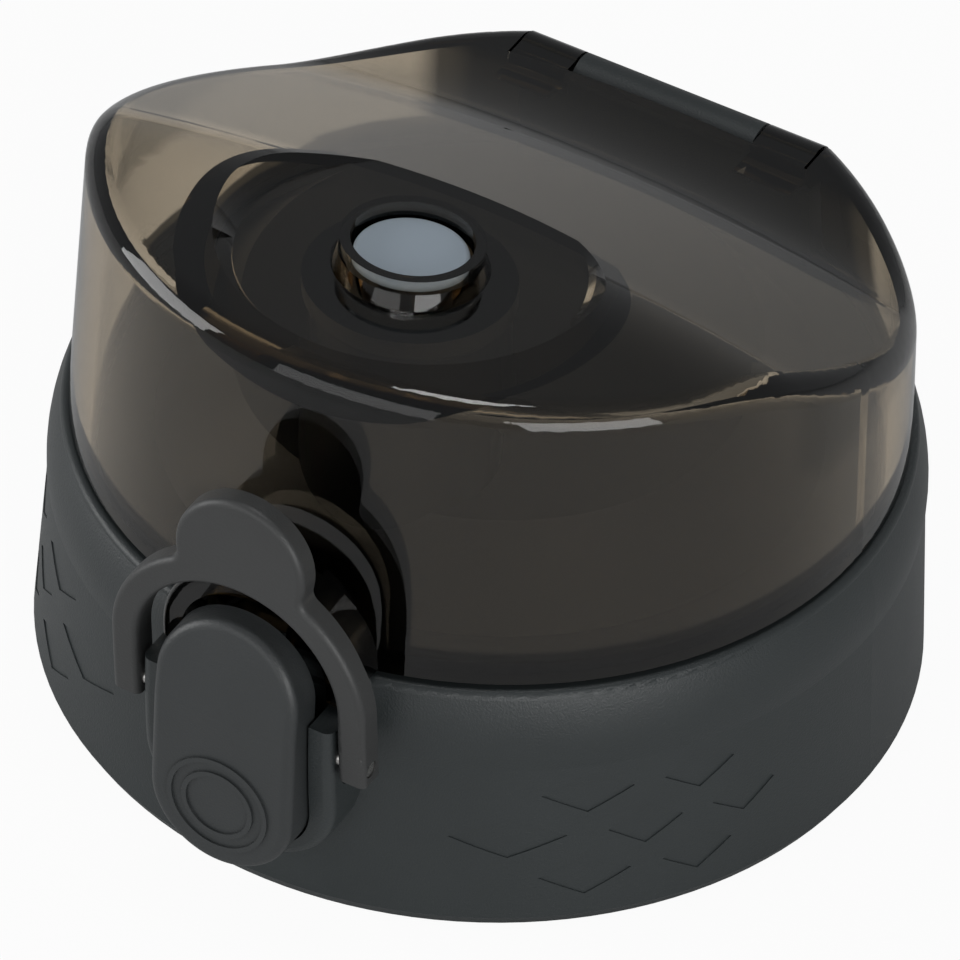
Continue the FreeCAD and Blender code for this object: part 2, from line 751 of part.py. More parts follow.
def add_lid_hinge(body):
    """Back cut-out for the post and the two outer knuckles."""
    cut = add_outline(new_sketch(body, "lid_back_cut", "XY_Plane", "lid_bottom - 1"), [
        ("-lid_cut_half_width", "lid_cut_back"),
        ("lid_cut_half_width", "lid_cut_back"),
        ("lid_cut_half_width", "lid_bottom_radius + 2"),
        ("-lid_cut_half_width", "lid_bottom_radius + 2"),
    ])
    pocket(body, "lid_back_opening", cut, "lid_blank_top - lid_bottom", reverse=True)
    near_end = "post_knuckle_half_length + knuckle_gap"
    far_end = near_end + " + lid_knuckle_length"
    drop = "crown_radius * (1 - cos(asin((%s) / crown_radius)))" % far_end
    for side, name in ((1, "right"), (-1, "left")):
        offset = near_end if side > 0 else "-(%s)" % far_end
        knuckle = add_circle(new_sketch(body, "lid_knuckle_section_" + name, "YZ_Plane", offset),
                             "hinge_back", "hinge_height", "barrel_radius")
        pad(body, "lid_knuckle_" + name, knuckle, "lid_knuckle_length")
        arm = add_outline(new_sketch(body, "lid_arm_section_" + name, "YZ_Plane", offset), [
            ("lid_cut_back - 1.5 * lid_roof", "valley_height - %s - 0.1" % drop),
            ("lid_cut_back - 1.5 * lid_roof", "valley_height - lid_roof - %s" % drop),
            ("hinge_back", "hinge_height - 0.6 * barrel_radius"),
            ("hinge_back", "hinge_height + 0.95 * barrel_radius"),
        ])
        pad(body, "lid_arm_" + name, arm, "lid_knuckle_length")
    bore = add_circle(new_sketch(body, "lid_knuckle_bore", "YZ_Plane"),
                      "hinge_back", "hinge_height", "hinge_pin_radius + running_clearance")
    pocket(body, "lid_knuckle_hole", bore, "2 * (%s) + 1" % far_end, midplane=True)


def make_plug():
    """Pale stopper: head in the ring, flange under the lid, nose in the spout."""
    body = new_body("plug")
    flange_low = "spout_top + plug_seat_clearance"
    head = "dish_floor_height + ring_height - plug_head_drop"
    stem = "dish_floor_height - 0.5"
    profile = add_outline(new_sketch(body, "plug_profile", "YZ_Plane", shift=("-spout_front", "0")), [
        ("0", "spout_top - plug_nose_depth"),
        ("-plug_tip_radius", "spout_top - plug_nose_depth"),
        ("-plug_nose_radius", flange_low),
        ("-plug_flange_radius", flange_low),
        ("-plug_flange_radius", "dish_underside"),
        ("-plug_stem_radius", "dish_underside"),
        ("-plug_stem_radius", stem),
        ("0", stem),
    ])
    revolve(body, "plug_body", profile)
    tilted = new_sketch(body, "plug_head_profile", "YZ_Plane",
                        shift=("-dish_front", "dish_floor_height"), turn="-dish_tilt")
    add_outline(tilted, [
        ("0", "-0.5 * dish_plate"),
        ("-plug_head_radius", "-0.5 * dish_plate"),
        ("-plug_head_radius", "ring_height - plug_head_drop"),
        ("0", "ring_height - plug_head_drop"),
    ])
    capped = revolve(body, "plug_head", tilted)
    round_edges(body, "plug_head_round", capped,
                lambda edge: edge.BoundBox.ZMin > value(head) - 0.9 and len(edge.Vertexes) == 1,
                "plug_round")
    return body


def make_rod(label, radius, half_length, back, height):
    """Steel pin across the part."""
    body = new_body(label)
    section = add_circle(new_sketch(body, label + "_section", "YZ_Plane"), back, height, radius)
    pad(body, label + "_rod", section, "2 * (%s)" % half_length, midplane=True)
    return body


def make_button():
    """Rocking push button with a ringed finger spot, a pin boss and a latch nose."""
    body = new_body("button")
    plate = add_outline(new_sketch(body, "button_outline", "XZ_Plane", "button_back"), [
        ("-button_half_width", "button_low_arc"),
        ("button_half_width", "button_low_arc"),
        ("button_half_width", "button_high_arc"),
        ("-button_half_width", "button_high_arc"),
    ], {0: ("button_half_width", 1), 2: ("button_half_width", 1)})
    padded = pad(body, "button_plate", plate, "button_thickness")
    front = "button_back + button_thickness"
    top = "button_high_arc + button_half_width"
    lean = add_outline(new_sketch(body, "button_lean_section", "YZ_Plane"), [
        ("-(%s)" % front, "button_lean_start"),
        ("-button_back - button_top_thickness", top),
        ("-button_back - button_top_thickness", top + " + 1"),
        ("-(%s) - 1" % front, top + " + 1"),
        ("-(%s) - 1" % front, "button_lean_start"),
    ], {0: ("8 * button_half_width", -1)})
    leaned = pocket(body, "button_lean", lean, "2 * button_half_width + 2", midplane=True)

    def front_edge(edge):
        inside = edge.BoundBox.YMax < -value("button_back + button_top_thickness") + 0.05
        low = value("button_lean_start")
        crossing = near(edge.BoundBox.ZMin, low) and near(edge.BoundBox.ZMax, low)
        return inside and not crossing
    round_edges(body, "button_edge", leaned, front_edge, "button_round")
    boss = add_circle(new_sketch(body, "button_boss_section", "YZ_Plane"),
                      "-button_pin_front", "button_pin_height", "button_boss_radius")
    pad(body, "button_boss", boss, "2 * button_half_width - 1", midplane=True)
    bore = add_circle(new_sketch(body, "button_bore_section", "YZ_Plane"),
                      "-button_pin_front", "button_pin_height", "button_pin_radius + running_clearance")
    pocket(body, "button_bore", bore, "2 * button_half_width + 1", midplane=True)
    for name, radius in (("outer", "spot_outer_radius"), ("inner", "spot_inner_radius")):
        lip = new_sketch(body, "spot_lip_" + name, "XZ_Plane", front)
        add_circle(lip, "0", "button_low_arc", radius)
        add_circle(lip, "0", "button_low_arc", radius + " - spot_lip_width")
        pad(body, "spot_ring_" + name, lip, "spot_lip_height")
    cup = add_circle(new_sketch(body, "spring_cup_section", "XZ_Plane", "button_back"),
                     "0", "button_low_arc", "spring_cup_radius")
    pocket(body, "spring_cup", cup, "spring_cup_depth", reverse=True)
    nose = add_outline(new_sketch(body, "nose_section", "YZ_Plane"), [
        ("-button_back - 0.1", "nose_height - 0.8"),
        ("-button_back + nose_reach", "nose_height"),
        ("-button_back + nose_reach", "nose_height + 0.7"),
        ("-button_back - 0.1", "nose_height + 2"),
    ])
    pad(body, "latch_nose", nose, "2 * nose_half_width", midplane=True)
    return body


def make_button_spring():
    """Small compression spring between the channel floor and the button's cup."""
    seat = value("channel_floor")
    cup = value("button_back + spring_cup_depth")
    wire = value("spring_wire_radius")
    radius = value("spring_radius")
    length = cup - seat - 2 * wire - 0.04
    turns = 3.0
    helix = Part.makeHelix(length / turns, length, radius)
    corners = [V(radius + wire * math.cos(math.radians(60 * k)), 0,
                 wire * math.sin(math.radians(60 * k))) for k in range(7)]
    section = Part.makePolygon(corners)
    coil = Part.Wire(helix).makePipeShell([section], True, True)
    spring = doc.addObject("Part::Feature", "button_spring")
    spring.Shape = coil
    spring.Label = "button_spring"
    spring.Placement = FreeCAD.Placement(V(0, -seat - wire - 0.02, value("button_low_arc")),
                                         FreeCAD.Rotation(V(1, 0, 0), 90))
    return spring


def make_lock_loop():
    """Arch with a finger lobe that swings on two pins beside the button housing."""
    body = new_body("lock_loop")
    deep = "loop_front_high + 1.5 - loop_back_low"
    arc_centre = "loop_inner_apex - loop_inner_half_width"
    arch = add_outline(new_sketch(body, "loop_outline", "XZ_Plane", "loop_back_low"), [
        ("-loop_half_width", "loop_arm_bottom"),
        ("loop_half_width", "loop_arm_bottom"),
        ("loop_half_width", arc_centre),
        ("-loop_half_width", arc_centre),
    ], {2: ("loop_half_width", 1)})
    pad(body, "loop_arch", arch, deep)
    lobe = add_circle(new_sketch(body, "lobe_outline", "XZ_Plane", "loop_back_low"),
                      "0", "lobe_top - lobe_radius", "lobe_radius")
    with_lobe = pad(body, "loop_lobe", lobe, deep)

    def notch(edge):
        box = edge.BoundBox
        low = value("lobe_top - 2 * lobe_radius")
        straight = box.XMax - box.XMin < 0.01 and box.ZMax - box.ZMin < 0.01 and box.YMax - box.YMin > 1.0
        return straight and box.ZMin > low and abs(box.Center.x) > 2.0
    round_edges(body, "lobe_notch", with_lobe, notch, "lobe_blend")
    window = add_outline(new_sketch(body, "loop_window_outline", "XZ_Plane", "loop_back_low - 0.5"), [
        ("-loop_inner_half_width", "loop_arm_bottom - 1"),
        ("loop_inner_half_width", "loop_arm_bottom - 1"),
        ("loop_inner_half_width", arc_centre),
        ("-loop_inner_half_width", arc_centre),
    ], {2: ("loop_inner_half_width", 1)})
    pocket(body, "loop_window", window, deep + " + 1", reverse=True)
    wide = "2 * loop_half_width + 2"
    front = add_outline(new_sketch(body, "loop_front_section", "YZ_Plane"), [
        ("-loop_front_low", "loop_arm_bottom - 0.01"),
        ("-loop_front_high", "lobe_top + 0.01"),
        ("-loop_front_high - 3", "lobe_top + 0.01"),
        ("-loop_front_high - 3", "loop_arm_bottom - 0.01"),
    ], {0: ("loop_front_curve", -1)})
    pocket(body, "loop_front_cut", front, wide, midplane=True)
    back = add_outline(new_sketch(body, "loop_back_section", "YZ_Plane"), [
        ("-loop_back_low", "loop_arm_bottom - 1"),
        ("-loop_back_low + 1", "loop_arm_bottom - 1"),
        ("-loop_back_low + 1", "lobe_top + 1"),
        ("-loop_back_high", "lobe_top + 1"),
        ("-loop_back_high", "loop_back_lean_end"),
    ])
    leaned = pocket(body, "loop_back_cut", back, wide, midplane=True)

    def front_edge(edge):
        box = edge.BoundBox
        return box.YMax < -value("loop_front_low") + 0.02 and box.ZMax > value("loop_arm_bottom") + 0.1
    round_edges(body, "loop_front_round", leaned, front_edge, "loop_round")
    bore = add_circle(new_sketch(body, "loop_bore_section", "YZ_Plane"),
                      "-loop_pivot_front", "loop_pivot_height", "loop_pin_radius + running_clearance")
    pocket(body, "loop_bore", bore, wide, midplane=True)
    return body


def make_loop_pin(side, name):
    """Short steel pin through one arm of the loop into the housing."""
    body = new_body("loop_pin_" + name)
    low = "channel_half_width + loop_pin_inset"
    high = "loop_half_width - 0.5 * loop_pin_inset"
    offset = low if side > 0 else "-(%s)" % high
    section = add_circle(new_sketch(body, "loop_pin_section_" + name, "YZ_Plane", offset),
                         "-loop_pivot_front", "loop_pivot_height", "loop_pin_radius")
    pad(body, "loop_pin_rod_" + name, section, "%s - (%s)" % (high, low))
    return body


def check_model(nodes):
    """Stop when an object failed or a sub-part is not one valid solid."""
    for item in doc.Objects:
        if "Invalid" in item.State or "Error" in item.State:
            raise RuntimeError("%s is %s" % (item.Name, item.State))
    for node in nodes:
        shape = node.Shape
        if shape.isNull() or not shape.isValid() or len(shape.Solids) != 1:
            raise RuntimeError("%s is not one valid solid" % node.Label)
        print("%-16s %10.1f mm3 %4d faces" % (node.Label, shape.Volume, len(shape.Faces)))


def write_steps(nodes):
    os.makedirs("parts", exist_ok=True)
    for node in nodes:
        node.Shape.exportStep("parts/%s.step" % node.Label)


def main():
    fill_sheet()
    nodes = [make_collar(), make_inner_body(), make_neck_gasket(), make_lid(), make_plug()]
    nodes.append(make_rod("hinge_pin", "hinge_pin_radius", "post_half_width", "hinge_back", "hinge_height"))
    nodes.append(make_button())
    nodes.append(make_rod("button_pin", "button_pin_radius", "housing_half_width - 0.3",
                          "-button_pin_front", "button_pin_height"))
    nodes.append(make_button_spring())
    nodes.append(make_lock_loop())
    nodes.append(make_loop_pin(1, "right"))
    nodes.append(make_loop_pin(-1, "left"))
    doc.recompute()
    check_model(nodes)
    write_steps(nodes)



main()
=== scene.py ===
"""Flip-top bottle cap: finishes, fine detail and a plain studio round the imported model."""
import bpy
import json
import math
from mathutils import Matrix, Vector


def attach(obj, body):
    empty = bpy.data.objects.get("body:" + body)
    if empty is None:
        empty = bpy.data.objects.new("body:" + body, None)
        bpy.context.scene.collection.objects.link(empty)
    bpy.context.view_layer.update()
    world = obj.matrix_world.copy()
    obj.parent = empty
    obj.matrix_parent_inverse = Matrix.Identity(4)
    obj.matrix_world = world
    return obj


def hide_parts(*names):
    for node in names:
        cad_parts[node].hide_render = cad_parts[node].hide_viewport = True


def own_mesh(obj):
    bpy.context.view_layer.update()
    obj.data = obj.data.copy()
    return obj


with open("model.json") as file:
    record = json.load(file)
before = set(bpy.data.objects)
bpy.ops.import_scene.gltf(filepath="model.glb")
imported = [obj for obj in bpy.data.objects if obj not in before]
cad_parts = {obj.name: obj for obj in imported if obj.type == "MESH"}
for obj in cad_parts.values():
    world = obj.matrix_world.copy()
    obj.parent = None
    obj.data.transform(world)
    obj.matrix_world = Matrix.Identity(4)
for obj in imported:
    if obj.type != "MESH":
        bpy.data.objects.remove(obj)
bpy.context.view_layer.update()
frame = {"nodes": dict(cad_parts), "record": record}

bl_info = {
    "name": "Bottle cap dressing",
    "version": (1, 0, 0),
    "blender": (4, 5, 0),
    "location": "3D View > Sidebar > Cap",
    "description": "Finishes and studio for a flip-top bottle cap",
    "category": "Object",
}

MM = 0.001
SAME_POINT = 1e-6

# Where the lid is painted darker, partly standing in for its thickness and partly as painted shade
# and painted dark reflection.
# Each pair is where the change starts and where it ends.
HOOD_FRONT = (33.5 * MM, 35.0 * MM)
HOOD_TOP = (36.0 * MM, 37.5 * MM)
HOOD_HALF_WIDTH = (10.5 * MM, 12.0 * MM)
KNUCKLE_FRONT = (26.0 * MM, 28.0 * MM)
FOOT_TOP = (26.3 * MM, 26.9 * MM)
SLOPE_FRONT = (-9.0 * MM, -6.5 * MM)
SLOPE_FOOT = (37.0 * MM, 38.5 * MM)
# Colour of the painted shade on the slope behind the crest
SLOPE_PAINTED_SHADE = (0.58, 0.58, 0.57)
# Near-black for the hood, knuckles and foot: partly their thickness, partly painted dark
# reflection and painted shade
THICK_SMOKE_AND_SHADE = (0.012, 0.011, 0.008)

# The dish in the lid is higher at the front by this angle
DISH_LEAN = math.radians(5.0)
# Painted shade on the plug below its pale top, and the width of its edge
PLUG_PAINTED_SHADE = (0.012, 0.012, 0.011)
PLUG_SHADE_EDGE = 0.1 * MM

# The neck thread's section: how far it bites into the bore, and half widths in shares of the pitch
THREAD_BITE = 0.1 * MM
THREAD_ROOT_HALF = 0.32
THREAD_TIP_HALF = 0.14
THREAD_START = 3.2 * MM
THREAD_STEPS = 96
SMOOTH_ANGLE = math.radians(40)

# Floor, air and lamps. Each lamp has a place, a point that it faces, a width and a power.
FLOOR_SIZE = 8.0
FLOOR_GAP = 0.05 * MM
FLOOR_GLOW = 0.95
AIR_COLOUR = (0.96, 0.98, 1.0, 1.0)
AIR_STRENGTH = 0.28
WHITE = (1.0, 1.0, 1.0, 1.0)
LAMPS = (
    ("front_softbox", (-0.10, -1.10, 0.26), (0, 0, 0.02), 0.9, 3.2),
    ("top_softbox", (0.0, 0.05, 1.20), (0, 0, 0.03), 0.3, 2.2),
    ("left_softbox", (-1.00, -0.45, 0.24), (0, 0, 0.03), 0.7, 7.0),
    ("right_softbox", (0.90, -0.62, 0.26), (0, 0, 0.03), 0.7, 6.5),
)

# The camera circles round this point, and aims a little to the left of it and below it
CAMERA_CENTRE = Vector((0.0, 0.0, 20.0 * MM))
AIM_LEFT = 8.5 / 11.8 * MM
AIM_DOWN = 33.0 / 11.8 * MM
SENSOR_WIDTH = 36.0


# Shader helpers

class Tone:
    """A number that varies over the surface, with plain arithmetic."""

    def __init__(self, recipe, socket):
        self.recipe = recipe
        self.socket = socket

    def _do(self, operation, first, second=None):
        inputs = {0: first} if second is None else {0: first, 1: second}
        node = self.recipe.add("ShaderNodeMath", {"operation": operation}, inputs)
        return Tone(self.recipe, node.outputs[0])

    def __add__(self, other):
        return self._do("ADD", self, other)

    def __sub__(self, other):
        return self._do("SUBTRACT", self, other)

    def __mul__(self, other):
        return self._do("MULTIPLY", self, other)

    def size(self):
        return self._do("ABSOLUTE", self)

    def over(self, other):
        return self._do("MAXIMUM", self, other)

    __radd__ = __add__
    __rmul__ = __mul__


class Recipe:
    """A material's node tree."""

    def __init__(self, name):
        self.material = bpy.data.materials.new(name)
        self.material.use_nodes = True
        self.tree = self.material.node_tree
        self.tree.nodes.clear()
        self.output = self.tree.nodes.new("ShaderNodeOutputMaterial")

    def add(self, kind, settings=None, inputs=None):
        """Add a node: settings first, then the values or links of its sockets."""
        node = self.tree.nodes.new(kind)
        for key, setting in (settings or {}).items():
            setattr(node, key, setting)
        for key, given in (inputs or {}).items():
            self.feed(node.inputs[key], given)
        return node

    def feed(self, socket, given):
        """Give a socket a value, or link it."""
        if isinstance(given, Tone):
            given = given.socket
        if isinstance(given, bpy.types.NodeSocket):
            self.tree.links.new(given, socket)
        elif hasattr(given, "__len__") and len(given) == 3 and socket.type == "RGBA":
            socket.default_value = (*given, 1.0)
        else:
            socket.default_value = given

    def place(self):
        """The object coordinates."""
        return self.add("ShaderNodeTexCoord").outputs["Object"]

    def noise(self, scale, detail=2.0, rough=0.5, stretch=None):
        """Noise over the object; scale is in features per metre."""
        where = self.place()
        if stretch:
            spread = self.add("ShaderNodeMapping", None, {"Vector": where, "Scale": stretch})
            where = spread.outputs[0]
        node = self.add("ShaderNodeTexNoise", None,
                        {"Vector": where, "Scale": scale, "Detail": detail, "Roughness": rough})
        return Tone(self, node.outputs[0])

    def axes(self):
        """The three object coordinates, in metres."""
        node = self.add("ShaderNodeSeparateXYZ", None, {0: self.place()})
        return [Tone(self, socket) for socket in node.outputs]

    def ramp(self, amount, low, high):
        """Rise smoothly from 0 at low to 1 at high."""
        node = self.add("ShaderNodeMapRange", {"interpolation_type": "SMOOTHSTEP"},
                        {"Value": amount, "From Min": low, "From Max": high})
        return Tone(self, node.outputs[0])

    def beyond(self, amount, edge):
        """1 above the edge and 0 below it."""
        return self.ramp(amount, *edge)

    def within(self, amount, edge):
        """1 below the edge and 0 above it."""
        return self.ramp(-1.0 * amount, -edge[1], -edge[0])

    def between(self, factor, first, second):
        """Blend two colours."""
        node = self.add("ShaderNodeMix", {"data_type": "RGBA"})
        self.feed(node.inputs[0], factor)
        self.feed(node.inputs[6], first)
        self.feed(node.inputs[7], second)
        return node.outputs[2]

    def bump(self, height, distance):
        """A normal that follows a fine relief of this depth."""
        node = self.add("ShaderNodeBump", None,
                        {"Height": height, "Distance": distance, "Strength": 1.0})
        return node.outputs[0]

    def finish(self, shader):
        """Link the shader to the output and give the material."""
        self.tree.links.new(shader.outputs[0], self.output.inputs["Surface"])
        return self.material


def grained_plastic(name, colour, gloss, grain, shine):
    """Moulded dark plastic with a fine spark-eroded grain and faint uneven shine."""
    recipe = Recipe(name)
    fine = recipe.noise(5200.0, 2.0, 0.6)
    cloud = recipe.noise(90.0, 3.0, 0.55)
    shade = recipe.between(cloud, [c * 0.88 for c in colour], [c * 1.12 for c in colour])
    rough = gloss + cloud * 0.10 + fine * 0.06 - 0.08
    shader = recipe.add("ShaderNodeBsdfPrincipled", None, {
        "Base Color": shade,
        "Roughness": rough,
        "IOR": 1.49,
        "Specular IOR Level": shine,
        "Normal": recipe.bump(fine, grain),
    })
    return recipe.finish(shader)


def smoky_clear(name, smoke, density):
    """Smoky see-through plastic with a polished skin: the thicker it is, the darker it looks.

    The hood over the button and the knuckles are painted nearly black, partly for their thickness
    and partly as painted dark reflection; the foot of the wall is painted nearly black as painted
    shade where it meets the collar, and the slope behind the crest is painted a little darker as
    painted shade.
    """
    recipe = Recipe(name)
    wave = recipe.noise(60.0, 1.0, 0.4)
    film = recipe.noise(250.0, 2.0, 0.5)
    x, y, z = recipe.axes()
    # Painted near-black: the hood and knuckles partly for thickness and partly as painted dark
    # reflection, the foot as painted shade at the collar
    hood = recipe.beyond(-1.0 * y, HOOD_FRONT) * recipe.within(z, HOOD_TOP)
    hood = hood * recipe.within(x.size(), HOOD_HALF_WIDTH)
    knuckle = recipe.beyond(y, KNUCKLE_FRONT)
    foot = recipe.within(z, FOOT_TOP)
    thick_and_shaded = hood.over(knuckle).over(foot)
    # Painted shade on the slope behind the crest
    slope = recipe.beyond(y, SLOPE_FRONT) * recipe.beyond(z, SLOPE_FOOT)
    clear = recipe.between(wave, (0.97, 0.97, 0.965), (1.0, 1.0, 1.0))
    clear = recipe.between(slope, clear, SLOPE_PAINTED_SHADE)
    shader = recipe.add("ShaderNodeBsdfPrincipled", None, {
        "Base Color": recipe.between(thick_and_shaded, clear, THICK_SMOKE_AND_SHADE),
        "Roughness": 0.012 + film * 0.012,
        "IOR": 1.49,
        "Transmission Weight": 1.0,
        "Normal": recipe.bump(wave, 0.02 * MM),
    })
    haze = recipe.add("ShaderNodeVolumeAbsorption", None,
                      {"Color": tuple(smoke), "Density": density})
    recipe.tree.links.new(haze.outputs[0], recipe.output.inputs["Volume"])
    return recipe.finish(shader)


def across_dish(x, y, z):
    """Height square to the dish."""
    return z * math.cos(DISH_LEAN) + y * math.sin(DISH_LEAN)


def pale_silicone(name, colour, shade_below=-1.0):
    """Soft pale silicone: matte, and painted in shade below a height."""
    recipe = Recipe(name)
    cloud = recipe.noise(260.0, 3.0, 0.6)
    pale = recipe.between(cloud, [c * 0.94 for c in colour], colour)
    # Painted shade: pale above the height, dark below it
    head = recipe.ramp(across_dish(*recipe.axes()), shade_below, shade_below + PLUG_SHADE_EDGE)
    shader = recipe.add("ShaderNodeBsdfPrincipled", None, {
        "Base Color": recipe.between(head, PLUG_PAINTED_SHADE, pale),
        "Roughness": 0.42 + cloud * 0.12,
        "IOR": 1.41,
        "Normal": recipe.bump(cloud, 0.02 * MM),
    })
    return recipe.finish(shader)


def ground_steel(name, colour):
    """Ground steel with fine lines across the pin."""
    recipe = Recipe(name)
    lines = recipe.noise(900.0, 2.0, 0.5, (1.0, 9.0, 9.0))
    shader = recipe.add("ShaderNodeBsdfPrincipled", None, {
        "Base Color": recipe.between(lines, [c * 0.9 for c in colour], colour),
        "Metallic": 1.0,
        "Roughness": 0.22 + lines * 0.14,
        "Normal": recipe.bump(lines, 0.004 * MM),
    })
    return recipe.finish(shader)


# Mesh helpers

def select_only(piece):
    """Make one object the only selected and active one."""
    if bpy.context.object and bpy.context.object.mode != "OBJECT":
        bpy.ops.object.mode_set(mode="OBJECT")
    bpy.ops.object.select_all(action="DESELECT")
    piece.select_set(True)
    bpy.context.view_layer.objects.active = piece


def settle(piece):
    """Move the piece's place into its mesh."""
    select_only(piece)
    bpy.ops.object.transform_apply(location=True, rotation=True, scale=True)


def dress(piece, name, material, body):
    """Name a new piece, give it its material and let it ride on its body."""
    piece.name = name
    piece.data.name = name
    piece.data.materials.clear()
    piece.data.materials.append(material)
    settle(piece)
    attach(piece, body)
    return piece


def coat_node(node, material):
    """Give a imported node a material."""
    mesh = frame["nodes"][node].data
    mesh.materials.clear()
    mesh.materials.append(material)


# Sizes and colours that a user would change

class CAP_PG_finish(bpy.types.PropertyGroup):
    collar_colour: bpy.props.FloatVectorProperty(
        name="Collar", description="Colour of the collar",
        subtype="COLOR", default=(0.024, 0.029, 0.030))
    button_colour: bpy.props.FloatVectorProperty(
        name="Button", description="Colour of the button",
        subtype="COLOR", default=(0.028, 0.031, 0.032))
    loop_colour: bpy.props.FloatVectorProperty(
        name="Loop", description="Colour of the lock loop",
        subtype="COLOR", default=(0.034, 0.035, 0.035))
    inner_colour: bpy.props.FloatVectorProperty(
        name="Inner body", description="Colour of the inner body",
        subtype="COLOR", default=(0.004, 0.0045, 0.0045))
    lid_smoke: bpy.props.FloatVectorProperty(
        name="Lid smoke", description="Tint of the smoky lid",
        subtype="COLOR", default=(0.36, 0.25, 0.06))
    lid_density: bpy.props.FloatProperty(
        name="Smoke density", description="How fast the lid darkens with thickness, per metre",
        default=340.0)
    plug_colour: bpy.props.FloatVectorProperty(
        name="Plug", description="Colour of the silicone plug",
        subtype="COLOR", default=(0.34, 0.40, 0.46))
    # The plug is painted in shade below this depth under its top
    plug_unshaded_depth: bpy.props.FloatProperty(
        name="Plug head", description="Depth of the pale head of the plug",
        unit="LENGTH", default=0.45 * MM)
    gasket_colour: bpy.props.FloatVectorProperty(
        name="Gasket", description="Colour of the neck gasket",
        subtype="COLOR", default=(0.62, 0.64, 0.65))
    steel_colour: bpy.props.FloatVectorProperty(
        name="Steel", description="Colour of the pins and the spring",
        subtype="COLOR", default=(0.60, 0.59, 0.57))


class CAP_PG_thread(bpy.types.PropertyGroup):
    pitch: bpy.props.FloatProperty(
        name="Pitch", description="Rise of the neck thread in one turn",
        unit="LENGTH", default=4.0 * MM)
    depth: bpy.props.FloatProperty(
        name="Depth", description="How far the thread stands in from the bore",
        unit="LENGTH", default=1.2 * MM)
    turns: bpy.props.FloatProperty(
        name="Turns", description="Number of turns of the neck thread", default=1.75)


class CAP_PG_studio(bpy.types.PropertyGroup):
    azimuth: bpy.props.FloatProperty(
        name="Azimuth", description="Side that the camera looks from",
        unit="ROTATION", default=math.radians(27.8))
    elevation: bpy.props.FloatProperty(
        name="Elevation", description="Height of the camera's view",
        unit="ROTATION", default=math.radians(41.0))
    roll: bpy.props.FloatProperty(
        name="Roll", description="Lean of the camera",
        unit="ROTATION", default=math.radians(3.2))
    distance: bpy.props.FloatProperty(
        name="Distance", description="Distance from the camera to the cap",
        unit="LENGTH", default=1.0)
    focal: bpy.props.FloatProperty(
        name="Focal length", description="Focal length in millimetres on a 36 mm sensor",
        default=442.5)
    floor_white: bpy.props.FloatProperty(
        name="Floor", description="Brightness of the floor", default=0.64)


class CAP_OT_finishes(bpy.types.Operator):
    """Give the moulded and steel parts their finishes"""
    bl_idname = "cap.finishes"
    bl_label = "Finish the parts"

    def execute(self, context):
        looks = context.scene.cap_finish
        for node, name, colour, gloss, grain, shine in (
                ("collar", "collar_grain", looks.collar_colour, 0.43, 0.04 * MM, 0.5),
                ("inner_body", "inner_satin", looks.inner_colour, 0.42, 0.01 * MM, 0.2),
                ("button", "button_grain", looks.button_colour, 0.42, 0.03 * MM, 0.5),
                ("lock_loop", "loop_grain", looks.loop_colour, 0.45, 0.03 * MM, 0.5)):
            coat_node(node, grained_plastic(name, colour, gloss, grain, shine))
        coat_node("lid", smoky_clear("lid_smoke", looks.lid_smoke, looks.lid_density))
        # The plug is painted in shade below its pale top
        corners = frame["nodes"]["plug"].data.vertices
        shade_top = max(across_dish(*corner.co) for corner in corners) - looks.plug_unshaded_depth
        coat_node("plug", pale_silicone("plug_silicone", looks.plug_colour, shade_top))
        coat_node("neck_gasket", pale_silicone("gasket_silicone", looks.gasket_colour))
        steel = ground_steel("pin_steel", looks.steel_colour)
        for node in ("hinge_pin", "button_pin", "loop_pin_right", "loop_pin_left"):
            coat_node(node, steel)
        return {"FINISHED"}


class CAP_OT_return_spring(bpy.types.Operator):
    """Set in the button's spring, a rigid copy on the base that does not shorten as the button is
    pressed
    """
    bl_idname = "cap.return_spring"
    bl_label = "Return spring"

    def execute(self, context):
        coil = frame["nodes"]["button_spring"].data.copy()
        piece = bpy.data.objects.new("return_spring", coil)
        context.scene.collection.objects.link(piece)
        steel = ground_steel("coil_steel", context.scene.cap_finish.steel_colour)
        dress(piece, "return_spring", steel, "base")
        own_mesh(piece)
        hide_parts("button_spring")
        return {"FINISHED"}


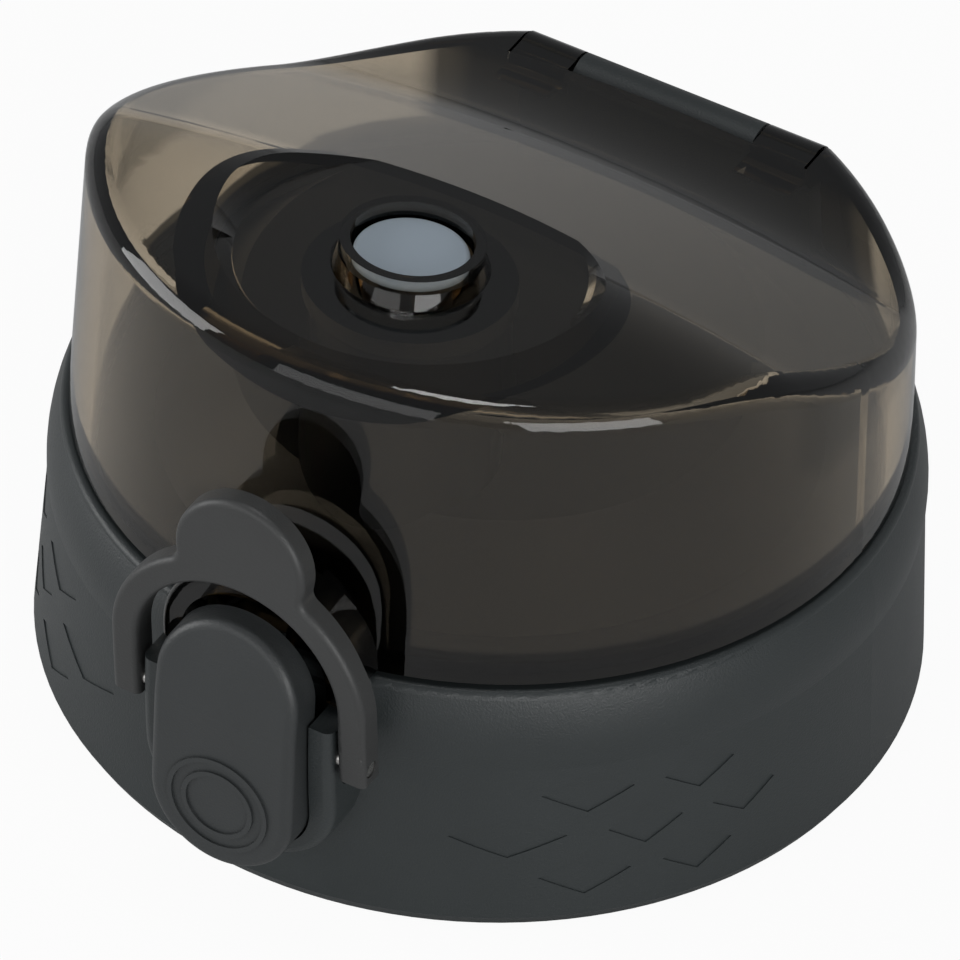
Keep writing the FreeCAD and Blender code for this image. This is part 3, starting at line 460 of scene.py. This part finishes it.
class CAP_OT_neck_thread(bpy.types.Operator):
    """Wind the thread inside the neck bore"""
    bl_idname = "cap.neck_thread"
    bl_label = "Neck thread"

    def execute(self, context):
        sizes = context.scene.cap_thread
        mount = frame["record"]["mounts"][0]
        bore = mount["dims"]["r_mm"] * MM
        bpy.ops.object.select_all(action="DESELECT")
        bpy.ops.mesh.primitive_plane_add(size=1.0, location=(0, 0, 0))
        piece = context.object
        root, tip = bore + THREAD_BITE, bore - sizes.depth
        corners = ((root, -THREAD_ROOT_HALF), (tip, -THREAD_TIP_HALF),
                   (tip, THREAD_TIP_HALF), (root, THREAD_ROOT_HALF))
        order = sorted(piece.data.vertices, key=lambda v: math.atan2(v.co.y, v.co.x))
        for vertex, (radius, share) in zip(order, corners):
            vertex.co = Vector((radius, 0.0, share * sizes.pitch + THREAD_START))
        select_only(piece)
        turn = piece.modifiers.new("wind", "SCREW")
        turn.axis = "Z"
        turn.angle = 2 * math.pi * sizes.turns
        turn.screw_offset = sizes.pitch * sizes.turns
        turn.steps = turn.render_steps = int(THREAD_STEPS * sizes.turns)
        turn.use_merge_vertices = False
        bpy.ops.object.modifier_apply(modifier="wind")
        bpy.ops.object.mode_set(mode="EDIT")
        bpy.ops.mesh.select_all(action="SELECT")
        bpy.ops.mesh.remove_doubles(threshold=SAME_POINT)
        bpy.ops.mesh.select_all(action="DESELECT")
        bpy.ops.mesh.select_non_manifold()
        bpy.ops.mesh.edge_face_add()
        bpy.ops.mesh.select_all(action="SELECT")
        bpy.ops.mesh.normals_make_consistent(inside=False)
        bpy.ops.object.mode_set(mode="OBJECT")
        bpy.ops.object.shade_smooth_by_angle(angle=SMOOTH_ANGLE)
        inner = frame["nodes"]["inner_body"].data.materials[0]
        dress(piece, "neck_thread_ridge", inner, "base")
        return {"FINISHED"}


class CAP_OT_studio(bpy.types.Operator):
    """Set the floor, the soft lights and the camera"""
    bl_idname = "cap.studio"
    bl_label = "Studio"

    def execute(self, context):
        shot = context.scene.cap_studio
        self.lay_floor(shot)
        self.light_world(context.scene)
        self.hang_lamps()
        self.aim_camera(context.scene, shot)
        context.scene.view_settings.view_transform = "Standard"
        return {"FINISHED"}

    def lay_floor(self, shot):
        """A pale floor that looks white and still takes the shadow."""
        bpy.ops.object.select_all(action="DESELECT")
        bpy.ops.mesh.primitive_plane_add(size=FLOOR_SIZE, location=(0, 0, -FLOOR_GAP))
        floor = bpy.context.object
        floor.name = "studio_floor"
        recipe = Recipe("floor_white")
        path = recipe.add("ShaderNodeLightPath")
        seen = Tone(recipe, path.outputs["Is Camera Ray"])
        seen = seen.over(path.outputs["Is Transmission Ray"])
        paint = recipe.add("ShaderNodeBsdfDiffuse", None, {"Color": (shot.floor_white,) * 3})
        glow = recipe.add("ShaderNodeEmission", None, {"Color": WHITE, "Strength": 1.0})
        mixed = recipe.add("ShaderNodeMixShader", None,
                           {0: seen * FLOOR_GLOW, 1: paint.outputs[0], 2: glow.outputs[0]})
        floor.data.materials.append(recipe.finish(mixed))

    def light_world(self, scene):
        """White behind the cap, and a dim fill for everything else."""
        world = bpy.data.worlds.new("studio_air")
        world.use_nodes = True
        tree = world.node_tree
        tree.nodes.clear()
        output = tree.nodes.new("ShaderNodeOutputWorld")
        path = tree.nodes.new("ShaderNodeLightPath")
        fill = tree.nodes.new("ShaderNodeBackground")
        fill.inputs[0].default_value = AIR_COLOUR
        fill.inputs[1].default_value = AIR_STRENGTH
        white = tree.nodes.new("ShaderNodeBackground")
        white.inputs[0].default_value = WHITE
        white.inputs[1].default_value = 1.0
        mixed = tree.nodes.new("ShaderNodeMixShader")
        tree.links.new(path.outputs["Is Camera Ray"], mixed.inputs[0])
        tree.links.new(fill.outputs[0], mixed.inputs[1])
        tree.links.new(white.outputs[0], mixed.inputs[2])
        tree.links.new(mixed.outputs[0], output.inputs[0])
        scene.world = world

    def hang_lamps(self):
        """Square soft lamps that face the cap."""
        for name, place, target, width, power in LAMPS:
            data = bpy.data.lights.new(name, "AREA")
            data.size = width
            data.energy = power
            lamp = bpy.data.objects.new(name, data)
            lamp.location = place
            beam = Vector(target) - Vector(place)
            lamp.rotation_euler = beam.to_track_quat("-Z", "Y").to_euler()
            bpy.context.scene.collection.objects.link(lamp)

    def aim_camera(self, scene, shot):
        """Stand the camera where the photograph was taken from."""
        side, rise, lean = shot.azimuth, shot.elevation, shot.roll
        back = Vector((math.sin(side) * math.cos(rise), -math.cos(side) * math.cos(rise),
                       math.sin(rise)))
        level = Vector((math.cos(side), math.sin(side), 0.0))
        right = math.cos(lean) * level + math.sin(lean) * back.cross(level)
        up = back.cross(right)
        spot = CAMERA_CENTRE + back * shot.distance
        aim = CAMERA_CENTRE - right * AIM_LEFT - up * AIM_DOWN
        back = (spot - aim).normalized()
        right = (right - right.dot(back) * back).normalized()
        up = back.cross(right)
        data = bpy.data.cameras.new("camera")
        data.lens = shot.focal
        data.sensor_width = SENSOR_WIDTH
        data.clip_start = 0.01
        data.clip_end = 20.0
        camera = bpy.data.objects.new("camera", data)
        turned = Matrix((right, up, back)).transposed().to_4x4()
        camera.matrix_world = Matrix.Translation(spot) @ turned
        scene.collection.objects.link(camera)
        scene.camera = camera


class CAP_PT_panel(bpy.types.Panel):
    """Panel with the cap's steps"""
    bl_label = "Bottle cap"
    bl_idname = "CAP_PT_panel"
    bl_space_type = "VIEW_3D"
    bl_region_type = "UI"
    bl_category = "Cap"

    def draw(self, context):
        for step in STEPS:
            self.layout.operator(step.bl_idname)
        for group in GROUPS:
            held = getattr(context.scene, group)
            for key in held.__annotations__:
                self.layout.prop(held, key)


STEPS = (CAP_OT_finishes, CAP_OT_return_spring, CAP_OT_neck_thread, CAP_OT_studio)
GROUPS = {"cap_finish": CAP_PG_finish, "cap_thread": CAP_PG_thread, "cap_studio": CAP_PG_studio}


def register():
    for item in (*GROUPS.values(), *STEPS, CAP_PT_panel):
        bpy.utils.register_class(item)
    for name, group in GROUPS.items():
        setattr(bpy.types.Scene, name, bpy.props.PointerProperty(type=group))


def unregister():
    for name in GROUPS:
        delattr(bpy.types.Scene, name)
    for item in reversed((*GROUPS.values(), *STEPS, CAP_PT_panel)):
        bpy.utils.unregister_class(item)


def main():
    register()
    for step in STEPS:
        group, name = step.bl_idname.split(".")
        getattr(getattr(bpy.ops, group), name)()


if __name__ == "__main__":
    main()
